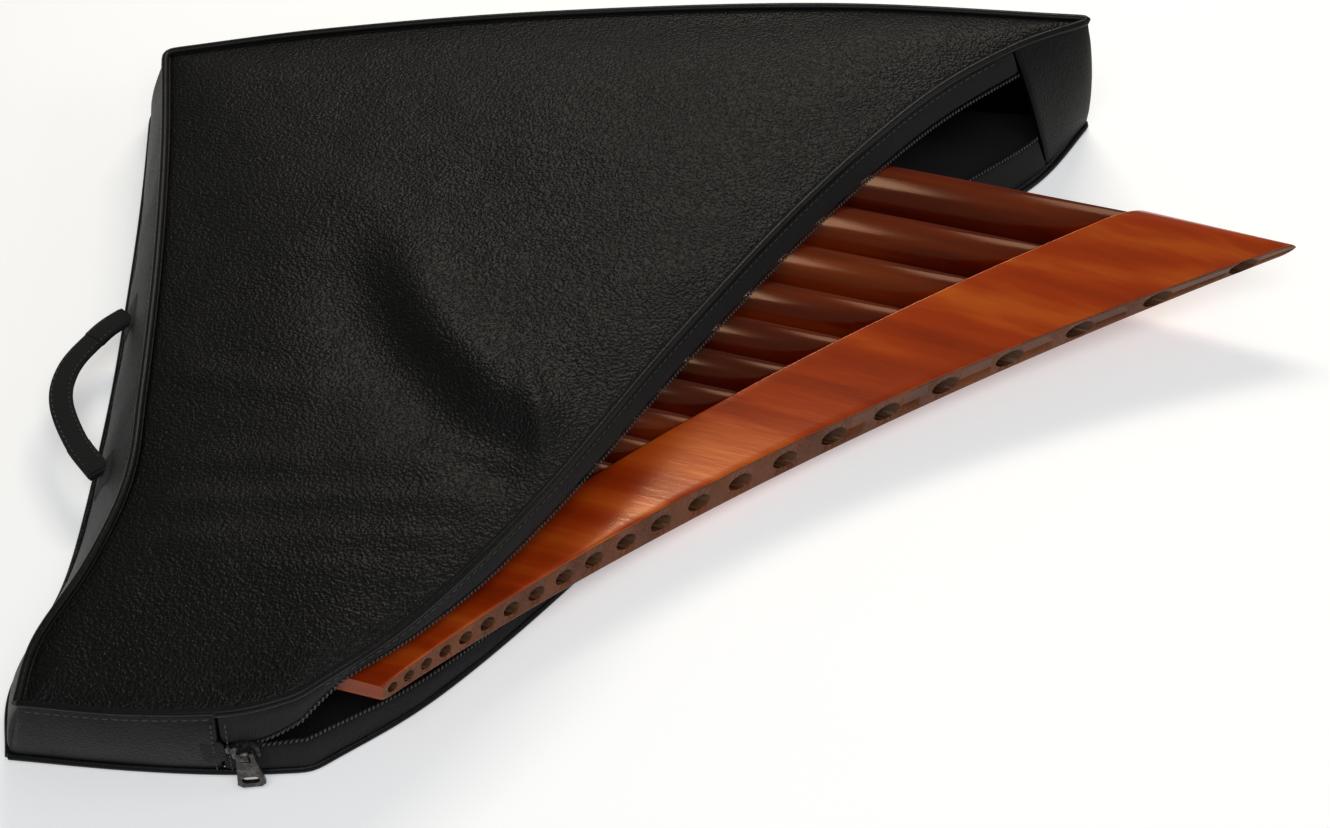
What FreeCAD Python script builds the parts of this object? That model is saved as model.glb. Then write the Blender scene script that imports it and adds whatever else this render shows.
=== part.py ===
import FreeCAD, Part
import math
import os

# Pan flute with 22 pipes, swung part of the way out of its padded carry bag.
# Units are millimetres. +Z is up and the pipes lie along X, with their mouths at -X.
# Each piece is modelled about the middle of the flute's foot, and the whole assembly is then
# moved so that the origin is at the centre of the bottom of its bounding box.

# ---- flute ----
PIPE_COUNT = 22
BASS_PITCH = 28.0          # spacing of the pipes at the bass end
TREBLE_PITCH = 7.6         # spacing at the treble end
BASS_BORE = 21.5           # bore diameters
TREBLE_BORE = 5.6
ROW_RADIUS = 800.0         # the row of pipes is bent to this radius
BASS_LENGTH = 331.0        # mouth to foot face, on the pipe's axis
MIDDLE_LENGTH = 149.0
TREBLE_LENGTH = 38.0
GLUE_FLAT = 1.04           # pipe diameter over pitch, planed flat where neighbours are glued
LIP_CHAMFER = 0.9          # the blown edge inside each mouth
BASS_BOARD = 2.4           # foot board over the pipes at the bass end
TREBLE_BOARD = 1.1
BASS_BOARD_DEPTH = 66.0    # foot boards, along the pipes
TREBLE_BOARD_DEPTH = 24.0
BASS_FACE = 5.2            # half of the end face's height, to which the foot tapers
MIDDLE_FACE = 9.8
TREBLE_FACE = 4.8
BASS_HOLE = 9.0            # holes through the foot, by which the corks are pushed
MIDDLE_HOLE = 9.2
TREBLE_HOLE = 4.6
BASS_SEAT = 9.0            # how far the pipes reach into the foot
TREBLE_SEAT = 12.0
CORK_LENGTH = 5.0
CORK_RECESS = 2.0
FOOT_STATIONS = 6          # spans in the foot's smooth edges

# ---- bag ----
SWING = 16.3               # degrees between the pipes and the bag's long edge
LEFT_HEIGHT = 46.0         # height of the bag's top at its left edge
TOP_RISE = 0.07            # slope of the top panel towards the nose
SHELL = 1.4                # leatherette
PADDING = 4.6
BOTTOM_PADDING = 4.8
LINING = 1.0
WALL = 3.0                 # gusset, leatherette backed with lining
PIPING = 1.8
PIPING_HEIGHT = 3.2
FLUTE_GAP = 0.9            # between the flute and whatever it lies on

# ---- zip ----
ZIP_HEIGHT = 22.0          # where the two rows of teeth meet
TEETH = 1.5
TEETH_DEPTH = 1.6
TAPE = 4.0
FLAP_BAND = 15.0           # band and tape that hang under the flap
END_BAND = 8.0             # the same, where the flap comes down to the end of the bag
SAG_RADIUS = 1200.0        # the lower zip band is pressed down under the flute
SEAM_X = -170.0            # end gusset to zip band
RAMP_END_X = -118.0        # from here on the flap's zip band hangs from the top panel
FULL_BAND_X = -70.0        # and from here on it has its full height
SLIDER_X = -163.0
SLIDER_TRAVEL = 14.0
SLIDER_LENGTH = 11.0
SLIDER_HEIGHT = 8.5
SLIDER_PLATE = 2.4
SLIDER_CORNER = 2.2
SLIDER_GAP = 0.8           # between the slider's plate and the teeth
BRIDGE_LENGTH = 3.0        # the loop on the slider that holds the puller
BRIDGE_WALL = 1.3
PIVOT_OUT = 4.6            # the puller's pivot, out from the back of the slider
PIVOT_UP = 2.0
PIVOT_RADIUS = 1.0
PIVOT_CLEARANCE = 0.25
PULLER_LENGTH = 22.0       # from the pivot to its free end
PULLER_HEAD = 1.8          # above the pivot
PULLER_THICKNESS = 1.8
PULLER_NARROW = 6.4        # widths at the pivot and at the free end
PULLER_WIDE = 11.2
PULLER_CORNER = 2.0
WINDOW_GAP = 0.4           # each side of the bridge
WINDOW_DEPTH = 4.2         # below the pivot
HOLE_LENGTH = 7.0          # finger hole in the puller
HOLE_HEIGHT = 4.4
HOLE_UP = 5.0              # from the puller's free end
END_TAB_LENGTH = 9.0       # stitched tab over the zip's end
END_TAB_HEIGHT = 15.0
END_TAB_BACK = 12.5        # from the slider at rest to the middle of the tab
STOP_LENGTH = 2.0
STOP_HEIGHT = 4.0
STOP_BACK = 6.8
END_PLATE = 1.6            # thickness of the tab and the stop

# ---- handle ----
HANDLE_WIDTH = 11.0
HANDLE_THICKNESS = 3.6
HANDLE_HEIGHT = 20.0
HANDLE_TOP_Y = 85.0
HANDLE_LOW_Y = -10.0
HANDLE_GAP = 2.8           # between the webbing's ends and their patches
HANDLE_REACH = 23.0        # how far the loop stands out
HANDLE_LOOP = [(0.13, 0.56), (0.35, 1.0), (0.56, 1.0), (0.81, 0.52)]   # shares of length and reach
PATCH = 1.2
PATCH_MARGIN = 5.0         # past the webbing's edges
PATCH_HEIGHT = 16.0
SECTOR_CENTRE = FreeCAD.Vector(60, 205, -10)   # inside the bag, in sight of every wall
FAR = 900.0                # past every edge of the bag

# Plan of the bag, seen from above, about the middle of the flute's foot before the swing.
# Each list runs anticlockwise: long edge, left edge, end, zip opening.
BAG_OFFSET = FreeCAD.Vector(-46.3, 4.9, 0)
TOP_PLAN = [
    [(207, 229), (80, 250), (-60, 256), (-170, 252), (-250, 243)],
    [(-250, 243), (-239, 170), (-230, 90), (-224, 12), (-222, -35), (-231, -78), (-245, -115), (-247, -144)],
    [(-247, -144), (-205, -150), (-165, -151), (-140, -145)],
    [(-140, -145), (-98, -111), (-51, -53), (2, 28), (61, 110), (120, 177), (167, 212), (207, 229)],
]
BOTTOM_PLAN = [
    [(219, 240), (80, 253), (-60, 258), (-170, 255), (-266, 246)],
    [(-266, 246), (-260, 180), (-256, 114), (-253, 40), (-254, -45), (-261, -82), (-267, -112), (-262, -140)],
    [(-262, -140), (-213, -145), (-172, -147), (-140, -146)],
    [(-140, -146), (-92, -110), (-32, -45), (28, 32), (85, 100), (140, 155), (188, 196), (219, 240)],
]


# ---- flute ----

def pipe_pitches():
    ratio = TREBLE_PITCH / BASS_PITCH
    return [BASS_PITCH * ratio ** (i / (PIPE_COUNT - 1)) for i in range(PIPE_COUNT)]


def pipe_places():
    """Arc-length places of the pipe axes along the row, from the bass (negative) side."""
    pitches = pipe_pitches()
    places = [0.0]
    for before, after in zip(pitches, pitches[1:]):
        places.append(places[-1] + (before + after) / 2)
    half = places[-1] / 2
    return [place - half for place in places]


def half_row():
    return pipe_places()[-1]


def between(bass_value, treble_value, place):
    """A value that changes evenly from the bass pipe to the treble pipe."""
    share = (place + half_row()) / (2 * half_row())
    return bass_value + (treble_value - bass_value) * share


def through_three(bass_value, middle_value, treble_value, place):
    """A value on the parabola through its bass, middle and treble values."""
    t = place / half_row()
    slope = (treble_value - bass_value) / 2
    bend = (treble_value + bass_value) / 2 - middle_value
    return middle_value + slope * t + bend * t * t


def foot_x(place):
    """The foot face, measured along the pipes from the middle of the foot."""
    return through_three(BASS_LENGTH, MIDDLE_LENGTH, TREBLE_LENGTH, place) - MIDDLE_LENGTH


def rear_x(place):
    """The foot's rear edge, where the pipes go in."""
    return foot_x(place) - between(BASS_BOARD_DEPTH, TREBLE_BOARD_DEPTH, place)


def seat_x(place):
    """The slanted cut at which the pipes stop, inside the foot."""
    return rear_x(place) + between(BASS_SEAT, TREBLE_SEAT, place)


def mouth_x():
    return -MIDDLE_LENGTH


def row_point(place, lift=0.0, x=0.0):
    """A point on the bent row. A positive lift is towards the hollow, upper side."""
    angle = place / ROW_RADIUS
    radius = ROW_RADIUS - lift
    return FreeCAD.Vector(x, -radius * math.sin(angle), ROW_RADIUS - radius * math.cos(angle))


def side_margins():
    """How far the foot reaches past the axes of the first and the last pipe."""
    return BASS_PITCH / 2 + BASS_BOARD, TREBLE_PITCH / 2 + TREBLE_BOARD


def row_wedge(bass_side, treble_side, x_low, x_high):
    """The space between two glue lines of the row."""
    reach = -3 * BASS_PITCH
    corners = [
        row_point(bass_side, reach, x_low),
        row_point(treble_side, reach, x_low),
        row_point(treble_side, -reach, x_low),
        row_point(bass_side, -reach, x_low),
    ]
    face = Part.Face(Part.makePolygon(corners + corners[:1]))
    return face.extrude(FreeCAD.Vector(x_high - x_low, 0, 0))


def along_x(radius, place, x_low, x_high):
    return Part.makeCylinder(radius, x_high - x_low, row_point(place, 0, x_low), FreeCAD.Vector(1, 0, 0))


def bore_radius(place):
    return between(BASS_BORE, TREBLE_BORE, place) / 2


def hole_radius(place):
    return through_three(BASS_HOLE, MIDDLE_HOLE, TREBLE_HOLE, place) / 2


def foot_places():
    """Stations along the foot, from its bass side to its treble side."""
    bass_margin, treble_margin = side_margins()
    low = -half_row() - bass_margin
    high = half_row() + treble_margin
    return [low + (high - low) * i / FOOT_STATIONS for i in range(FOOT_STATIONS + 1)]


def foot_curve(x_at, lift_at):
    """A smooth edge along the foot."""
    curve = Part.BSplineCurve()
    curve.interpolate([row_point(place, lift_at(place), x_at(place)) for place in foot_places()])
    return curve.toShape()


def pipe_plan():
    """The plan of the pipes, from behind their mouths to their slanted cut."""
    low = -3 * BASS_PITCH
    cut = Part.BSplineCurve()
    points = [FreeCAD.Vector(seat_x(place), row_point(place).y, low) for place in foot_places()]
    cut.interpolate(points)
    corners = [
        points[-1],
        FreeCAD.Vector(mouth_x() - 1, points[-1].y, low),
        FreeCAD.Vector(mouth_x() - 1, points[0].y, low),
        points[0],
    ]
    wire = Part.Wire([cut.toShape()] + Part.makePolygon(corners).Edges)
    return Part.Face(wire).extrude(FreeCAD.Vector(0, 0, -2 * low))


def make_pipe_blank(index, plan):
    """A pipe before it is bored."""
    place = pipe_places()[index]
    pitch = pipe_pitches()[index]
    bass_side = place - pitch / 2
    treble_side = place + pitch / 2
    if index == 0:
        bass_side = place - pitch
    if index == PIPE_COUNT - 1:
        treble_side = place + pitch
    body = along_x(pitch * GLUE_FLAT / 2, place, mouth_x(), BASS_LENGTH)
    body = body.common(row_wedge(bass_side, treble_side, mouth_x() - 1, BASS_LENGTH + 1))
    return body.common(plan)


def make_pipe(index, blank):
    place = pipe_places()[index]
    bore = bore_radius(place)
    body = blank.cut(along_x(bore, place, mouth_x() - 1, BASS_LENGTH + 1))
    lip = Part.makeCone(
        bore + LIP_CHAMFER, bore, 2 * LIP_CHAMFER, row_point(place, 0, mouth_x()), FreeCAD.Vector(1, 0, 0)
    )
    return body.cut(lip)


def cork_end(index):
    """The corks stop short of the pipe's slanted cut."""
    place = pipe_places()[index]
    return seat_x(place + bore_radius(place)) - CORK_RECESS


def make_corks():
    corks = []
    for index in range(PIPE_COUNT):
        place = pipe_places()[index]
        end = cork_end(index)
        corks.append(along_x(bore_radius(place), place, end - CORK_LENGTH, end))
    return Part.makeCompound(corks)


def make_foot_half(side):
    """Half of the foot, tapered: side 1 is the hollow upper half, side -1 the lower half."""
    def full(place):
        board = between(BASS_BOARD, TREBLE_BOARD, place)
        return side * (between(BASS_PITCH, TREBLE_PITCH, place) * GLUE_FLAT / 2 + board)

    def at_face(place):
        return side * through_three(BASS_FACE, MIDDLE_FACE, TREBLE_FACE, place)

    def middle(place):
        return 0.0

    edges = [
        foot_curve(rear_x, full),
        foot_curve(foot_x, at_face),
        foot_curve(foot_x, middle),
        foot_curve(rear_x, middle),
    ]
    faces = [Part.makeRuledSurface(edges[i], edges[(i + 1) % 4]) for i in range(4)]
    for end in (0, -1):
        corners = [edge.Vertexes[end].Point for edge in edges]
        faces.append(Part.Face(Part.makePolygon(corners + corners[:1])))
    shell = Part.makeShell(faces)
    shell.sewShape()
    half = Part.Solid(shell)
    if half.Volume < 0:
        half.reverse()
    return half


def make_foot_board(side, blanks):
    board = make_foot_half(side).cut(blanks)
    holes = []
    for place in pipe_places():
        holes.append(along_x(hole_radius(place), place, mouth_x(), BASS_LENGTH))
    return board.cut(holes)


# ---- bag ----

def top_height(x):
    return LEFT_HEIGHT + TOP_RISE * (x - TOP_PLAN[0][-1][0])


def moved_inwards(points, inset):
    """The points of one run of a plan, moved to its left by inset."""
    moved = []
    for index, (x, y) in enumerate(points):
        before = points[max(index - 1, 0)]
        after = points[min(index + 1, len(points) - 1)]
        dx = after[0] - before[0]
        dy = after[1] - before[1]
        length = math.hypot(dx, dy)
        moved.append((x - inset * dy / length, y + inset * dx / length))
    return moved


def meet(line_a, line_b):
    """Where two lines, each given by two points, cross."""
    (ax, ay), (bx, by) = line_a
    (cx, cy), (dx, dy) = line_b
    ux, uy = bx - ax, by - ay
    vx, vy = dx - cx, dy - cy
    share = ((cx - ax) * vy - (cy - ay) * vx) / (ux * vy - uy * vx)
    return ax + share * ux, ay + share * uy


def outline(plan, inset, height):
    """The closed outline of a plan at a height that may depend on x, inset by a distance."""
    runs = [moved_inwards(points, inset) for points in plan]
    for index, run in enumerate(runs):
        following = runs[(index + 1) % len(runs)]
        corner = meet(run[-2:], following[:2])
        run[-1] = corner
        following[0] = corner
    edges = []
    for run in runs:
        curve = Part.BSplineCurve()
        curve.interpolate([FreeCAD.Vector(x, y, height(x)) for x, y in run])
        edges.append(curve.toShape())
    return Part.Wire(edges)


def envelope(inset):
    """The solid inside the bag's walls, inset from their outer faces."""
    low = outline(BOTTOM_PLAN, inset, lambda x: 0.0)
    high = outline(TOP_PLAN, inset, top_height)
    return Part.makeLoft([low, high], True, True)


def profile_block(points):
    """A region given in the XZ plane, right across the bag."""
    corners = [FreeCAD.Vector(x, -400, z) for x, z in points]
    return Part.Face(Part.makePolygon(corners + corners[:1])).extrude(FreeCAD.Vector(0, 900, 0))


def under_top(depth_low, depth_high):
    """The layer between two depths below the top of the bag."""
    left, right = -400.0, 400.0
    return profile_block([
        (left, top_height(left) - depth_low),
        (right, top_height(right) - depth_low),
        (right, top_height(right) - depth_high),
        (left, top_height(left) - depth_high),
    ])


def above_floor(low, high):
    return profile_block([(-400, low), (400, low), (400, high), (-400, high)])


def sector(start, end):
    """The part of the plan between two directions from a point inside the bag."""
    first = math.atan2(start[1] - SECTOR_CENTRE.y, start[0] - SECTOR_CENTRE.x)
    last = math.atan2(end[1] - SECTOR_CENTRE.y, end[0] - SECTOR_CENTRE.x)
    turn = (last - first) % (2 * math.pi)
    corners = [SECTOR_CENTRE]
    parts = 4
    for step in range(parts + 1):
        angle = first + turn * step / parts
        corners.append(SECTOR_CENTRE + FreeCAD.Vector(math.cos(angle), math.sin(angle), 0) * FAR)
    return Part.Face(Part.makePolygon(corners + corners[:1])).extrude(FreeCAD.Vector(0, 0, 200))


def seam_place(x):
    """A place on the end of the bag, where the leatherette stops and the zip band starts."""
    return x, TOP_PLAN[2][1][1]


def nose_place():
    """The long edge's gusset turns the nose and stops here."""
    return TOP_PLAN[3][-2]


def shift_profile(drop):
    """The lower edge of the flap's zip band, lowered by a distance."""
    start = ZIP_HEIGHT + TEETH
    return [
        (SEAM_X - 60, start - drop),
        (SLIDER_X, start - drop),
        (RAMP_END_X, top_height(RAMP_END_X) - SHELL - END_BAND - drop),
        (FULL_BAND_X, top_height(FULL_BAND_X) - SHELL - FLAP_BAND - drop),
        (400, top_height(400) - SHELL - FLAP_BAND - drop),
    ]


def flap_strip(drop_low, drop_high):
    """A strip of the flap's zip band between two distances from its edge."""
    return profile_block(shift_profile(drop_low) + shift_profile(drop_high)[::-1])


def flap_band_block(drop):
    """Everything of the flap's band above a distance from its edge."""
    roof = [(400, top_height(400) - SHELL), (SEAM_X - 60, top_height(SEAM_X - 60) - SHELL)]
    return profile_block(shift_profile(drop) + roof)


def floor_stack():
    return SHELL + BOTTOM_PADDING + LINING


def flute_height():
    """The height of the row's axis above the floor, in the middle of the row."""
    pipe = between(BASS_PITCH, TREBLE_PITCH, 0.0) * GLUE_FLAT / 2
    board = between(BASS_BOARD, TREBLE_BOARD, 0.0)
    return floor_stack() + FLUTE_GAP + board + pipe


def below_zip(drop):
    """The space under the edge of the lower zip band, which dips below the flute."""
    block = above_floor(SHELL, ZIP_HEIGHT - drop)
    axis = FreeCAD.Vector(1, 0, 0)
    start = FreeCAD.Vector(-500, 0, floor_stack() + FLUTE_GAP / 4 + SAG_RADIUS)
    dip = Part.makeCylinder(SAG_RADIUS + drop, 1000, start, axis)
    dip.Placement = bag_placement().inverse().multiply(dip.Placement)
    return block.cut(dip)


def bag_placement():
    turn = FreeCAD.Rotation(FreeCAD.Vector(0, 0, 1), SWING)
    return FreeCAD.Placement(turn.multVec(BAG_OFFSET), turn)


def wall_y(outer, x, z):
    """The outer face of the end wall, found along Y."""
    ray = Part.makeLine(FreeCAD.Vector(x, -500, z), FreeCAD.Vector(x, 0, z))
    return ray.common(outer).BoundBox.YMin


def wall_x(outer, y, z):
    """The outer face of the left wall, found along X."""
    ray = Part.makeLine(FreeCAD.Vector(-500, y, z), FreeCAD.Vector(-100, y, z))
    return ray.common(outer).BoundBox.XMin


def make_panels(outer, inner):
    top = {
        "top_shell": outer.common(under_top(SHELL, -5)),
        "top_padding": inner.common(under_top(SHELL + PADDING, SHELL)),
        "top_lining": inner.common(under_top(SHELL + PADDING + LINING, SHELL + PADDING)),
    }
    bottom = {
        "bottom_shell": outer.common(above_floor(-5, SHELL)),
        "bottom_padding": inner.common(above_floor(SHELL, SHELL + BOTTOM_PADDING)),
        "bottom_lining": inner.common(above_floor(SHELL + BOTTOM_PADDING, floor_stack())),
    }
    return {**top, **bottom}


def make_gussets(outer, inner):
    wall = outer.cut(inner)
    top_left = TOP_PLAN[1][0]
    end_left = TOP_PLAN[2][0]
    between_shells = above_floor(SHELL, 200).common(under_top(400, SHELL))
    side = wall.common(between_shells)
    seam = seam_place(SEAM_X)
    zip_wall = wall.common(sector(seam, nose_place()))
    face = outer.cut(envelope(TEETH_DEPTH)).common(sector(seam, nose_place()))
    return {
        "long_gusset": side.common(sector(nose_place(), top_left)),
        "spine_gusset": side.common(sector(top_left, end_left)),
        "end_gusset": side.common(sector(end_left, seam)),
        "zip_band_upper": zip_wall.common(flap_band_block(-TAPE)),
        "zip_tape_upper": face.common(flap_strip(0, -TAPE)),
        "zip_teeth_upper": face.common(flap_strip(TEETH, 0)),
        "zip_band_lower": zip_wall.common(below_zip(TEETH + TAPE)),
        "zip_tape_lower": face.common(below_zip(TEETH)).cut(below_zip(TEETH + TAPE)),
        "zip_teeth_lower": face.common(below_zip(0)).cut(below_zip(TEETH)),
    }


def make_piping(outer):
    ring = envelope(-PIPING).cut(outer)
    return {
        "piping_top": ring.common(under_top(PIPING_HEIGHT, -5)),
        "piping_bottom": ring.common(above_floor(-5, PIPING_HEIGHT)),
    }


def slider_frame(outer):
    """The slider's place on the wall, and the direction in which it runs."""
    start = FreeCAD.Vector(SLIDER_X, wall_y(outer, SLIDER_X, ZIP_HEIGHT), ZIP_HEIGHT)
    far = SLIDER_X + SLIDER_TRAVEL
    end = FreeCAD.Vector(far, wall_y(outer, far, ZIP_HEIGHT), ZIP_HEIGHT)
    along = (end - start).normalize()
    outward = FreeCAD.Vector(along.y, -along.x, 0)
    return start, along, outward


def on_wall(shape, start, along):
    """Turns a piece drawn along X, with its back at y = 0, to stand on the end wall."""
    turn = FreeCAD.Rotation(FreeCAD.Vector(1, 0, 0), along)
    shape.Placement = FreeCAD.Placement(start, turn).multiply(shape.Placement)
    return shape


def rounded_plate(length, height, thickness, radius, x=0.0, z=0.0):
    """A plate that stands in the XZ plane and reaches from y = 0 towards -Y."""
    plate = Part.makeBox(length, thickness, height, FreeCAD.Vector(x - length / 2, -thickness, z - height / 2))
    edges = [edge for edge in plate.Edges if abs(edge.tangentAt(edge.FirstParameter).y) > 0.9]
    return plate.makeFillet(radius, edges)


def make_slider(outer):
    start, along, outward = slider_frame(outer)
    plate = rounded_plate(SLIDER_LENGTH, SLIDER_HEIGHT, SLIDER_PLATE, SLIDER_CORNER)
    hole = PIVOT_RADIUS + PIVOT_CLEARANCE
    rim = hole + BRIDGE_WALL
    axis = FreeCAD.Vector(1, 0, 0)
    left = -BRIDGE_LENGTH / 2
    bridge = Part.makeCylinder(rim, BRIDGE_LENGTH, FreeCAD.Vector(left, -PIVOT_OUT, PIVOT_UP), axis)
    foot = Part.makeBox(BRIDGE_LENGTH, PIVOT_OUT, 2 * rim, FreeCAD.Vector(left, -PIVOT_OUT, PIVOT_UP - rim))
    bore = Part.makeCylinder(hole, SLIDER_LENGTH, FreeCAD.Vector(2 * left, -PIVOT_OUT, PIVOT_UP), axis)
    slider = plate.fuse([bridge, foot]).cut(bore).removeSplitter()
    return on_wall(slider, start + outward * SLIDER_GAP, along)


def puller_outline():
    """The tab seen from the front: narrow at the pivot, wide and with cut corners at its free end."""
    narrow = PULLER_NARROW / 2
    wide = PULLER_WIDE / 2
    low = PIVOT_UP - PULLER_LENGTH
    return [
        (-narrow, PIVOT_UP + PULLER_HEAD),
        (narrow, PIVOT_UP + PULLER_HEAD),
        (wide, low + PULLER_CORNER),
        (wide - PULLER_CORNER, low),
        (PULLER_CORNER - wide, low),
        (-wide, low + PULLER_CORNER),
    ]


def make_puller(outer):
    """A hanging tab with a long hole near its end and two arms that carry the pivot."""
    start, along, outward = slider_frame(outer)
    front = -PIVOT_OUT - PULLER_THICKNESS / 2
    points = [FreeCAD.Vector(x, front, z) for x, z in puller_outline()]
    tab = Part.Face(Part.makePolygon(points + points[:1])).extrude(FreeCAD.Vector(0, PULLER_THICKNESS, 0))
    half = BRIDGE_LENGTH / 2 + WINDOW_GAP
    window = Part.makeBox(
        2 * half, 2 * PIVOT_OUT, WINDOW_DEPTH + PULLER_LENGTH,
        FreeCAD.Vector(-half, -2 * PIVOT_OUT, PIVOT_UP - WINDOW_DEPTH)
    )
    hole_height = PIVOT_UP - PULLER_LENGTH + HOLE_UP
    hole = rounded_plate(HOLE_LENGTH, HOLE_HEIGHT, 2 * PIVOT_OUT, 0.48 * HOLE_HEIGHT, 0.0, hole_height)
    pin_start = FreeCAD.Vector(-PULLER_NARROW / 2, -PIVOT_OUT, PIVOT_UP)
    pin = Part.makeCylinder(PIVOT_RADIUS, PULLER_NARROW, pin_start, FreeCAD.Vector(1, 0, 0))
    puller = tab.cut(window).cut(hole).fuse(pin).removeSplitter()
    return on_wall(puller, start + outward * SLIDER_GAP, along)


def make_zip_ends(outer):
    """The stitched tab that covers the zip's end, and the metal stop beside it."""
    start, along = slider_frame(outer)[:2]
    tab = rounded_plate(END_TAB_LENGTH, END_TAB_HEIGHT, END_PLATE, 0.4 * END_TAB_LENGTH, -END_TAB_BACK)
    stop = rounded_plate(STOP_LENGTH, STOP_HEIGHT, END_PLATE, STOP_LENGTH / 4, -STOP_BACK)
    return {
        "zip_end_tab": on_wall(tab, start, along).cut(outer),
        "zip_stop": on_wall(stop, start, along).cut(outer),
    }


def handle_path(outer):
    """Middle line of the webbing, from its upper end to its lower end."""
    top = wall_x(outer, HANDLE_TOP_Y, HANDLE_HEIGHT) - PATCH - HANDLE_GAP
    low = wall_x(outer, HANDLE_LOW_Y, HANDLE_HEIGHT) - PATCH - HANDLE_GAP
    length = HANDLE_TOP_Y - HANDLE_LOW_Y
    path = [(top, HANDLE_TOP_Y)]
    for down, out in HANDLE_LOOP:
        path.append(((top + low) / 2 - out * HANDLE_REACH, HANDLE_TOP_Y - down * length))
    return path + [(low, HANDLE_LOW_Y)]


def make_handle(outer):
    path = handle_path(outer)
    z = HANDLE_HEIGHT - HANDLE_THICKNESS / 2
    sides = []
    for inset in (HANDLE_WIDTH / 2, -HANDLE_WIDTH / 2):
        moved = moved_inwards(path, inset)
        moved[0] = (path[0][0], moved[0][1])
        moved[-1] = (path[-1][0], moved[-1][1])
        curve = Part.BSplineCurve()
        curve.interpolate([FreeCAD.Vector(x, y, z) for x, y in moved])
        sides.append((curve.toShape(), moved))
    first = sides[0][1]
    second = sides[1][1]
    ends = [
        Part.makeLine(FreeCAD.Vector(*first[i], z), FreeCAD.Vector(*second[i], z)) for i in (0, -1)
    ]
    wire = Part.Wire(Part.__sortEdges__([sides[0][0], ends[1], sides[1][0], ends[0]]))
    return Part.Face(wire).extrude(FreeCAD.Vector(0, 0, HANDLE_THICKNESS))


def make_patch(outer, y):
    """A stitched patch where one end of the handle meets the left wall."""
    reach = HANDLE_WIDTH / 2 + PATCH_MARGIN
    corner = FreeCAD.Vector(-FAR, y - reach, HANDLE_HEIGHT - PATCH_HEIGHT / 2)
    block = Part.makeBox(FAR + SEAM_X, 2 * reach, PATCH_HEIGHT, corner)
    return envelope(-PATCH).cut(outer).common(block)


# ---- assembly ----

def flute_placement():
    return FreeCAD.Placement(FreeCAD.Vector(0, 0, flute_height()), FreeCAD.Rotation())


def make_flute():
    nodes = {}
    plan = pipe_plan()
    blanks = [make_pipe_blank(index, plan) for index in range(PIPE_COUNT)]
    for index, blank in enumerate(blanks):
        nodes["pipe_%02d" % (index + 1)] = make_pipe(index, blank)
    nodes["foot_front_board"] = make_foot_board(1, blanks)
    nodes["foot_back_board"] = make_foot_board(-1, blanks)
    nodes["tuning_corks"] = make_corks()
    return nodes


def make_bag():
    outer = envelope(0.0)
    inner = envelope(WALL)
    nodes = make_panels(outer, inner)
    nodes.update(make_gussets(outer, inner))
    nodes.update(make_piping(outer))
    nodes.update(make_zip_ends(outer))
    nodes["zip_slider"] = make_slider(outer)
    nodes["zip_puller"] = make_puller(outer)
    nodes["handle"] = make_handle(outer)
    nodes["handle_patch_top"] = make_patch(outer, HANDLE_TOP_Y)
    nodes["handle_patch_low"] = make_patch(outer, HANDLE_LOW_Y)
    return nodes


def placed(shape, placement):
    return shape.transformed(placement.toMatrix(), copy=True)


def assemble():
    """Every node in the part's own frame, and the move that put it there."""
    nodes = {}
    for name, shape in make_flute().items():
        nodes[name] = placed(shape, flute_placement())
    for name, shape in make_bag().items():
        nodes[name] = placed(shape, bag_placement())
    box = FreeCAD.BoundBox()
    for shape in nodes.values():
        box.add(shape.optimalBoundingBox(False, False))
    move = FreeCAD.Vector(-box.Center.x, -box.Center.y, -box.ZMin)
    placement = FreeCAD.Placement(move, FreeCAD.Rotation())
    return {name: placed(shape, placement) for name, shape in nodes.items()}, move


def main():
    os.makedirs("parts", exist_ok=True)
    nodes, move = assemble()
    for name, shape in nodes.items():
        solids = shape.Solids
        shape = solids[0] if len(solids) == 1 else Part.makeCompound(solids)
        shape.exportStep("parts/%s.step" % name)
        print("%-18s solids %2d  volume %9.0f" % (name, len(solids), shape.Volume))


if __name__ == "__main__":
    main()
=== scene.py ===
import math

import bmesh
import bpy
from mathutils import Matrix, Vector, noise
from mathutils.geometry import intersect_point_line


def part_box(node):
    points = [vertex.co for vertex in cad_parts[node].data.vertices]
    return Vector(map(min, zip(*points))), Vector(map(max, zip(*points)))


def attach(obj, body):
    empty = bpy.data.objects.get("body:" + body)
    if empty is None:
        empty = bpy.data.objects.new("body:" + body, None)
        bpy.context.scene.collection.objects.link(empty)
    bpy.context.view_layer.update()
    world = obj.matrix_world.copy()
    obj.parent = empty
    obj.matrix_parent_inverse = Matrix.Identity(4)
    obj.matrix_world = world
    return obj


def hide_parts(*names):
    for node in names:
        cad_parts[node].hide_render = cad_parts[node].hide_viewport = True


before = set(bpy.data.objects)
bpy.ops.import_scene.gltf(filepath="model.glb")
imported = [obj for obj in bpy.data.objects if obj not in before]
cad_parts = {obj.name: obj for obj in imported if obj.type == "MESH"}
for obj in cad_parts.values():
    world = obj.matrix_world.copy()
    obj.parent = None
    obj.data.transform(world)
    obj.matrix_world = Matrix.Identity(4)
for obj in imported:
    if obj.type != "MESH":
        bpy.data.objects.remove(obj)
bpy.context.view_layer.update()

# A curved pan flute, swung part of the way out of its padded bag.
# Plans and thicknesses are in millimetres, as a designer would write them; meshes are in metres.
MM = 0.001
SWING = math.radians(16.3)      # between the pipes and the bag's long edge
BAG_OFFSET = (-46.3, 4.9)       # the plan's origin from the middle of the flute's foot
LEFT_HEIGHT = 46.0              # top of the bag at its left edge
TOP_RISE = 0.07
LEFT_X = -250.0
PANEL = 6.0                     # leatherette and foam together
WALL = 3.0
ZIP_HEIGHT = 22.0
TEETH = 1.5
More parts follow.
